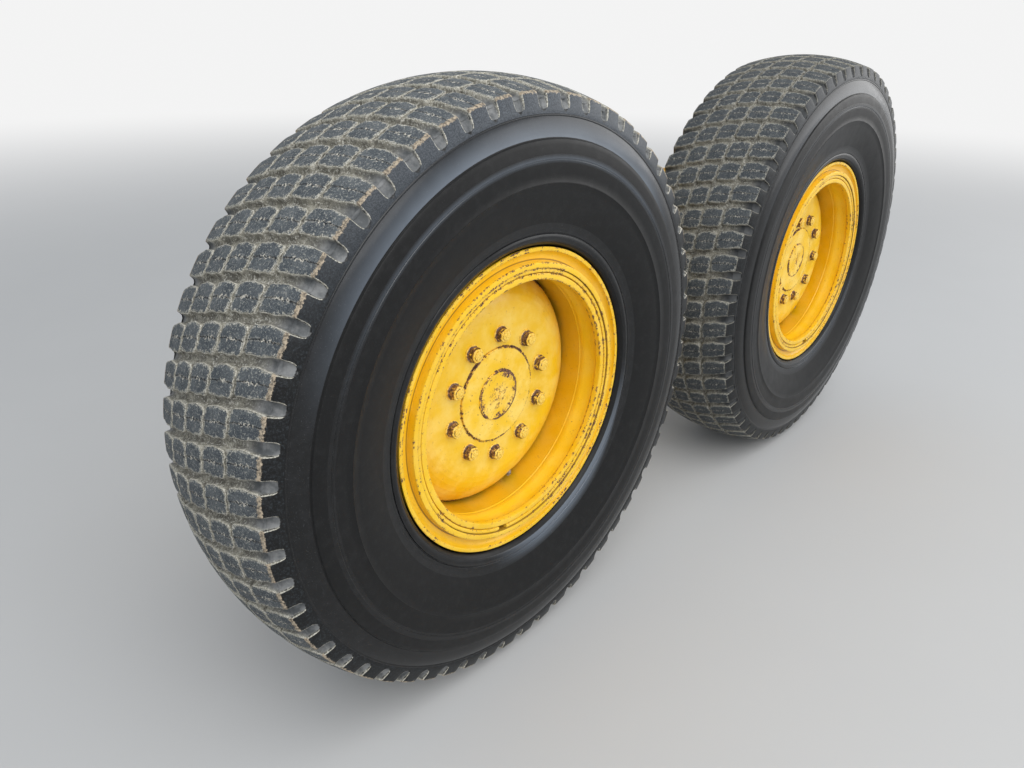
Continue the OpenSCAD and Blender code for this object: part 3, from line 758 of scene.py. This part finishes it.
def tread_pitch():
    """One pitch of the tread: a row of blocks and the groove before it."""
    stations = tread_stations()
    points, faces, values = [], [], {}
    for s in stations:
        r, y, lean = s["r"], s["y"], s["lean"]
        middle = math.radians(PITCH_START + ROW_SLANT * s["row"] + BLOCK_SLANT * (y - s["row"]))
        lower, upper = block_reach(s)
        rise = upper - lower
        half = (PITCH * degree_at(s) - rise) / 2
        # From groove to groove over the block: place along the tread, and share of the groove's depth
        line = [
            (lower - half, 1.0), (lower - half * 0.56, 0.97), (lower - half * 0.24, 0.74),
            (lower, GROOVE_LIP), (lower + 2.4, 0.0), (lower + rise * 0.3, 0.0), (lower + rise * 0.5 - 4, 0.0),
            (lower + rise * 0.5 + 4, 0.0), (lower + rise * 0.7, 0.0), (upper - 2.4, 0.0), (upper, GROOVE_LIP),
            (upper + half * 0.24, 0.74), (upper + half * 0.56, 0.97), (upper + half, 1.0),
        ]
        for k, (along, share) in enumerate(line):
            drop = max(share * s.get("depth", GROOVE_DEPTH), s["slit"] * SLIT_DEPTH)
            angle = middle + along / r
            rr, yy = r - drop * math.cos(lean), y - drop * math.sin(lean)
            if s["edge"] < 3 and "half" not in s and abs(y) < 150:
                yy += JOGS.get(k, 0.0)
            point = (rr * math.cos(angle), TYRE_MIDDLE + yy, rr * math.sin(angle))
            points.append(tuple(c / METRE for c in point))
            for key, number in finish_values(s, along, share, drop, lower, upper).items():
                values.setdefault(key, []).append(number)
    n = len(line)
    for i in range(len(stations)):
        this, after = i * n, (i + 1) % len(stations) * n
        for j in range(n - 1):
            faces.append((this + j, after + j, after + j + 1, this + j + 1))
    mesh = bpy.data.meshes.new("tread_pitch")
    mesh.from_pydata(points, [], faces)
    set_values(mesh, values)
    return mesh


# Sidewall from under the tread's edge down to the bead: radius and place from the tyre's middle
SIDEWALL = [
    (604.0, 170.5), (603.2, 172.9), (602.0, 173.8), (600.2, 173.9), (598.8, 173.2), (594.0, 175.3),
    (587.0, 177.6), (579.0, 179.4), (570.0, 180.8), (562.0, 181.5), (560.2, 181.8), (559.4, 183.2),
    (558.6, 185.0), (557.4, 185.6), (550.0, 186.6), (538.0, 187.8), (532.0, 188.3), (526.0, 188.6),
    (524.0, 188.7), (523.0, 188.0), (521.6, 187.9), (520.4, 188.8), (516.0, 188.7), (510.0, 188.5),
    (496.0, 187.6), (481.0, 186.2), (479.6, 186.9), (477.4, 186.8), (476.2, 185.8), (462.0, 183.7),
    (448.0, 180.9), (434.0, 177.4), (420.0, 173.4), (408.0, 169.6), (397.0, 165.9), (388.0, 162.9),
    (380.0, 160.9), (376.6, 160.4), (375.6, 159.0), (374.4, 158.8), (373.2, 160.6), (369.0, 161.8),
    (366.0, 162.1), (362.8, 161.2), (358.2, 158.4), (353.4, 154.4), (350.0, 149.0), (348.6, 141.0),
    (347.6, 133.0), (344.0, 127.5), (336.0, 127.0), (324.0, 126.6), (312.0, 126.6), (305.4, 126.6),
    (305.4, 60.0),
]
LINER = [(330.0, 97.0), (420.0, 145.0), (530.0, 165.0), (600.0, 120.0), (618.0, 60.0)]


def sheen_at(r, y):
    """How much the dressing shines on the sidewall. It shows from 0.5 on, and it also places the painted
    reflection.
    """
    if y > 170 and 561 < r < 604:
        return 0.54 + 0.46 * (604 - r) / 42
    if y > 180 and 515 < r < 533:
        return 0.82 - 0.033 * abs(r - 524)
    if y > 157 and r < 398:
        return min(BEAD_SHEEN, BEAD_SHEEN - (r - 371) / 950)
    return 0.0


def tyre_mesh(material, polished):
    ring = ring_mesh("tread", tread_pitch(), GROOVES, material)
    half = [(r, y, sheen_at(r, y)) for r, y in SIDEWALL + LINER]
    outline = half + [(r, -y, w) for r, y, w in reversed(half)] + [(r, y, 0.0) for r, y in CARCASS_CROWN]
    points, faces, sheen = turned([(r, TYRE_MIDDLE + y, w) for r, y, w in outline], steps=180)
    wall = new_mesh("sidewalls", [tuple(c / METRE for c in p) for p in points], faces, {"sheen": sheen})
    wall.materials.append(material)
    wall.materials.append(polished)
    sheen = wall.attributes["sheen"].data
    for face in wall.polygons:
        face.material_index = int(all(sheen[v].value > 0.5 for v in face.vertices))
    return join_meshes("tyre", [ring, wall])


# Rim: the same sections as the machined parts, with their edges eased

RIM_OUTLINES = {
    "side_rings": [
        (305.1, -23, 0), (316, -23, 0), (324, -23, 0), (333.6, -20.8, 0), (341.0, -14.5, 0), (345.0, -6, 0),
        (345.5, -2.0, 0), (345.5, 0, 2.2), (336.5, 0, 2.6), (336.2, -3.5, 0), (334.8, -7.2, 0),
        (331.5, -10.8, 0), (328.0, -13.0, 0), (324, -14, 0), (315, -14, 0), (305.1, -14, 0),
    ],
    "seat_band": [
        (291.3, -142, 0), (302.8, -142, 0), (304.8, -138, 0), (304.8, -13.7, 0), (314.5, -13.7, 0),
        (314.5, 4, 2.4), (302, 4, 2.4), (301.8, -6, 0), (301.8, -25.7, 0), (291.3, -25.7, 0),
    ],
    "lock_ring": [
        (286.3, -25.4, 0), (301.5, -25.4, 0), (301.5, 1, 3.0), (292.6, 1, 2.4), (292.5, -8.3, 0),
        (286.3, -8.3, 0),
    ],
    "rim_base": [
        (277, -14, 2.0), (277, 0, 2.8), (291, 0, 2.4), (291, -8, 0), (286, -8, 0), (286, -26, 0),
        (291, -26, 0), (291, -170, 0), (304.8, -190, 0), (304.8, -268.3, 0), (314.5, -268.3, 0),
        (314.5, -301, 2.5), (281.5, -301, 2.5), (281.5, -68, 0), (280.5, -66, 0), (281.4, -63.5, 0),
        (280.3, -60, 0), (279.4, -53, 0), (279.7, -48, 0), (281.2, -43, 0), (282.7, -34, 0), (282.9, -27, 0),
        (281.4, -18, 0),
    ],
}
# The lock ring is split: it starts beside its gap and goes nearly once round
SPLIT = {"start": -97.5, "sweep": 355.0, "steps": 190}


def rim_pieces(side, material):
    """The steel rings that hold the tyre, each with the name of the plain solid that it stands for."""
    made = []
    for part, corners in RIM_OUTLINES.items():
        name = f"{side}_{part}"
        outline = eased(corners)
        how = SPLIT if part == "lock_ring" else {}
        piece = turned_piece(name + "_made", side, outline, material, **how)
        if part == "side_rings":
            mirrored = [(r, 2 * TYRE_MIDDLE - y, w) for r, y, w in outline]
            made.append((turned_piece(name + "_inner", side, mirrored, material), name))
        made.append((piece, name))
    return made


# Wheel nuts

def nut_mesh():
    """A flanged nut on its stud: a hexagon whose corners are turned off, with its end painted."""
    half_flats, steps = 15.0, 48
    # Height, radius of the turning, whether the hexagon cuts it, and how much paint is left
    levels = [
        (0.0, 19.8, False, 0.5), (1.2, 19.8, False, 0.9), (2.6, 19.2, False, 0.7), (4.4, 16.8, False, 0.1),
        (5.0, 17.2, True, 0.1), (9.0, 17.3, True, 0.3), (13.5, 17.3, True, 0.3), (16.5, 17.0, True, 0.2),
        (18.6, 15.8, True, 0.6), (20.0, 14.2, True, 1.0), (20.2, 11.6, False, 1.0), (19.8, 10.9, False, 0.4),
        (21.4, 10.4, False, 0.6), (22.0, 9.4, False, 1.0), (22.05, 4.0, False, 1.0),
    ]
    points, paint = [], []
    for height, limit, hexagon, painted in levels:
        for i in range(steps):
            a = math.tau * i / steps
            r = min(limit, half_flats / math.cos((a % (math.pi / 3)) - math.pi / 6)) if hexagon else limit
            point = (NUT_CIRCLE_RADIUS + r * math.cos(a), height - DISC_DEPTH, r * math.sin(a))
            points.append(tuple(c / METRE for c in point))
            paint.append(painted)
    return new_mesh("nut", points, tube_faces(steps, len(levels), False), {"paint": paint})


# Chain case

def case_path(inset, steps=48):
    """Points round the case's side view, the given way inside the edge of its side plates."""
    half_height, radius = CASE_HEIGHT / 2 - inset, CASE_END_RADIUS - inset
    knee = CASE_LEVEL / 2
    lean = math.atan2(half_height, knee - AXLE_X) - math.acos(radius / math.hypot(AXLE_X - knee, half_height))
    end = [(AXLE_X + radius * math.cos(a), radius * math.sin(a))
           for a in (lean - 2 * lean * i / steps for i in range(steps + 1))]
    path = [(-knee, half_height), (knee, half_height)] + end + [(knee, -half_height), (-knee, -half_height)]
    return path + [(-x, -z) for x, z in end]


def weld_mesh(material):
    """The welds that join the case's two side plates to its wrapper plate."""
    low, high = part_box("case_body")
    path = case_path(PLATE_OVERHANG)
    seam = bpy.data.curves.new("case_seam", "CURVE")
    seam.dimensions = "3D"
    for y in (low[1], high[1]):
        line = seam.splines.new("POLY")
        line.points.add(len(path) - 1)
        for point, (x, z) in zip(line.points, path):
            point.co = (x / METRE, y, z / METRE, 1.0)
        line.use_cyclic_u = True
    mesh = weld_pattern().mesh("case_welds", Seam=new_object("case_seam", seam), Ripple=WELD_RIPPLE / METRE,
                               Radius=WELD_RADIUS / METRE, Material=material)
    mesh.shade_smooth()
    return mesh


# Putting it together

def dress_node(name, material):
    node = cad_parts[name]
    node.data.materials.clear()
    node.data.materials.append(material)


def take_over(piece, node, body):
    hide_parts(node)
    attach(piece, body)


def build_wheels():
    rubber = {"front": tyre_rubber("tyre_rubber"), "rear": tyre_rubber("tyre_rubber_cleaner", 0.74, 0.25)}
    # Painted shade darkens the rim's creases and the disc's edge
    rim_paint = yellow_paint("rim_paint", chips=0.122, pale=0.28, centre=AXLE_X,
                             painted_shade_creases=((317.3, 2.7), (302.0, 1.3)))
    disc_paint = yellow_paint("disc_paint", specks=0.3, pale=0.78, centre=AXLE_X, painted_shade_creases=((282.0, 3.0),),
                              rings=((112.5, 4, 1.6), (281.2, 16, 2.4)))
    hub_paint = yellow_paint("hub_paint", specks=0.9, speck_size=140, pale=1.0, rough=0.42, centre=AXLE_X,
                             rings=((57.5, 6, 2.0), (52, 15, 0.95), (110, 4, 1.6), (0, 48, 0.95)))
    tyre = tyre_mesh(rubber["front"], dressed_rubber())
    nuts = ring_mesh("nuts", nut_mesh(), NUTS, nut_metal())
    stem = plain_metal("valve_metal", STEM_METAL, 0.5, 0.35, rust=0.2)
    for side in WHEELS:
        body = "wheel_" + side
        tyre_made = on_wheel(side + "_tyre_made", tyre, side)
        for slot, used in enumerate(tyre_made.data.materials):
            if used == rubber["front"]:
                tyre_made.data.materials[slot] = rubber[side]
        take_over(tyre_made, side + "_tyre", body)
        take_over(on_wheel(side + "_nuts_made", nuts, side), side + "_nuts", body)
        for piece, node in rim_pieces(side, rim_paint):
            take_over(piece, node, body)
        dress_node(side + "_disc", disc_paint)
        dress_node(side + "_hub", hub_paint)
        dress_node(side + "_hub_boss", hub_paint)
        dress_node(side + "_valve", stem)


def build_case():
    case_paint = yellow_paint("case_paint", grime=0.8, rough=0.42, plates=True)
    cover_paint = yellow_paint("cover_paint", grime=1.0, rough=0.42)
    pivot_paint = yellow_paint("pivot_paint", grime=1.0, rough=0.5,
                               rings=((238, 6, 1.3), (120, 5, 1.2), (62, 5, 1.2)))
    spindle_paint = yellow_paint("spindle_paint", grime=1.0, rough=0.5, centre=AXLE_X,
                                 rings=((230, 5, 1.2), (222, 5, 1.2)))
    steel = plain_metal("bolt_steel", STEEL, 0.75, 0.45)
    black = plain_metal("plug_dark", BLACK_CAP, 0.0, 0.5)
    for name, material in {
        "case_body": case_paint, "case_outer_plate": case_paint, "case_inner_plate": case_paint,
        "top_covers": cover_paint, "pivot_housing": pivot_paint, "swivel_ring": pivot_paint,
        "brake_housings": spindle_paint, "bearing_housings": spindle_paint, "cover_bolts": steel,
        "breather": steel, "level_plug": steel, "drain_plugs": steel, "swivel_bolts": steel,
        "housing_bolts": steel, "filler_plug": black,
    }.items():
        dress_node(name, material)
    weld = new_object("case_welds", weld_mesh(case_paint))
    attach(weld, "tandem")


# Camera, floor and light

# The photograph's viewpoint, found from its two rims: its place in metres, its turns in radians, and its lens
CAMERA_PLACE = (1.89399, 1.75019, 0.76197)
CAMERA_AZIMUTH, CAMERA_DOWN, CAMERA_ROLL = 0.8303580, 0.4399063, -0.0154023
SENSOR_WIDTH, LENS = 36, 27.365

# What is seen far behind the object, the dome's light on it, and the floor
BACKDROP = colour(0.90, 0.90, 0.90)
DOME = colour(0.64, 0.68, 0.73)
FLOOR_TONES = colour(0.520, 0.515, 0.505), colour(0.525, 0.520, 0.510)


def add_camera():
    camera = new_object("camera", bpy.data.cameras.new("camera"))
    camera.data.sensor_width = SENSOR_WIDTH
    camera.data.lens = LENS
    flat = math.cos(CAMERA_DOWN)
    forward = (-math.sin(CAMERA_AZIMUTH) * flat, -math.cos(CAMERA_AZIMUTH) * flat, -math.sin(CAMERA_DOWN))
    level = (-math.cos(CAMERA_AZIMUTH), math.sin(CAMERA_AZIMUTH), 0.0)
    below = (forward[1] * level[2] - forward[2] * level[1],
             forward[2] * level[0] - forward[0] * level[2],
             forward[0] * level[1] - forward[1] * level[0])
    c, s = math.cos(CAMERA_ROLL), math.sin(CAMERA_ROLL)
    right = [c * a + s * b for a, b in zip(level, below)]
    under = [-s * a + c * b for a, b in zip(level, below)]
    rows = Matrix((right, [-x for x in under], [-x for x in forward])).transposed()
    camera.matrix_world = Matrix.Translation(CAMERA_PLACE) @ rows.to_4x4()
    scene.camera = camera


def add_floor():
    """A pale floor that fades into the white behind it far from the wheels."""
    bpy.ops.mesh.primitive_plane_add(size=120, location=(0, 0, FLOOR / METRE))
    floor = bpy.context.object
    floor.name = "floor"
    f = Finish("pale_floor")
    away = f.add("ShaderNodeVectorMath", {"operation": "LENGTH"}, Vector=f.at).outputs["Value"]
    material = f.done(Base_Color=f.mix(f.patches(0.3, 0.7, 2.5, 4), *FLOOR_TONES), Roughness=0.85,
                      Specular_IOR_Level=0.2)
    fade = f.add("ShaderNodeMixShader")
    glow = f.add("ShaderNodeEmission", Color=BACKDROP, Strength=1.0)
    f.fill(fade, {0: f.times(f.step(away, 2.5, 12.0), f.seen()), 1: f.surface.outputs[0], 2: glow.outputs[0]})
    f.feed(f.tree.nodes["Material Output"].inputs["Surface"], fade.outputs[0])
    floor.data.materials.append(material)


def add_lamp(name, place, target, width, height, watts):
    lamp = new_object(name, bpy.data.lights.new(name, "AREA"))
    lamp.data.shape = "RECTANGLE"
    lamp.data.size, lamp.data.size_y = width, height
    lamp.data.energy = watts
    aim = (Vector(target) - Vector(place)).to_track_quat("-Z", "Y").to_matrix().to_4x4()
    lamp.matrix_world = Matrix.Translation(place) @ aim


def add_light():
    """A pale dome, a wide soft lamp above, a soft panel behind the rear wheel and a soft strip beside it."""
    world = bpy.data.worlds.new("studio")
    scene.world = world
    world.use_nodes = True
    sky = Nodes(world.node_tree)
    sky.feed(sky.tree.nodes["Background"].inputs["Color"], sky.mix(sky.seen(), DOME, BACKDROP))
    add_lamp("soft_lamp", (1.6, 3.6, 4.4), (0.1, 0.4, -0.1), 4.5, 4.5, 170)
    add_lamp("soft_panel", (-4.4, 3.6, 1.7), (0.2, 0.6, 0.3), 5.0, 2.6, 70)
    add_lamp("soft_strip", (1.2, 5.4, 2.1), (0.6, 0.75, 0.1), 4.0, 2.0, 52)


add_camera()
add_light()
add_floor()
build_wheels()
build_case()
scene.view_settings.view_transform = "Standard"
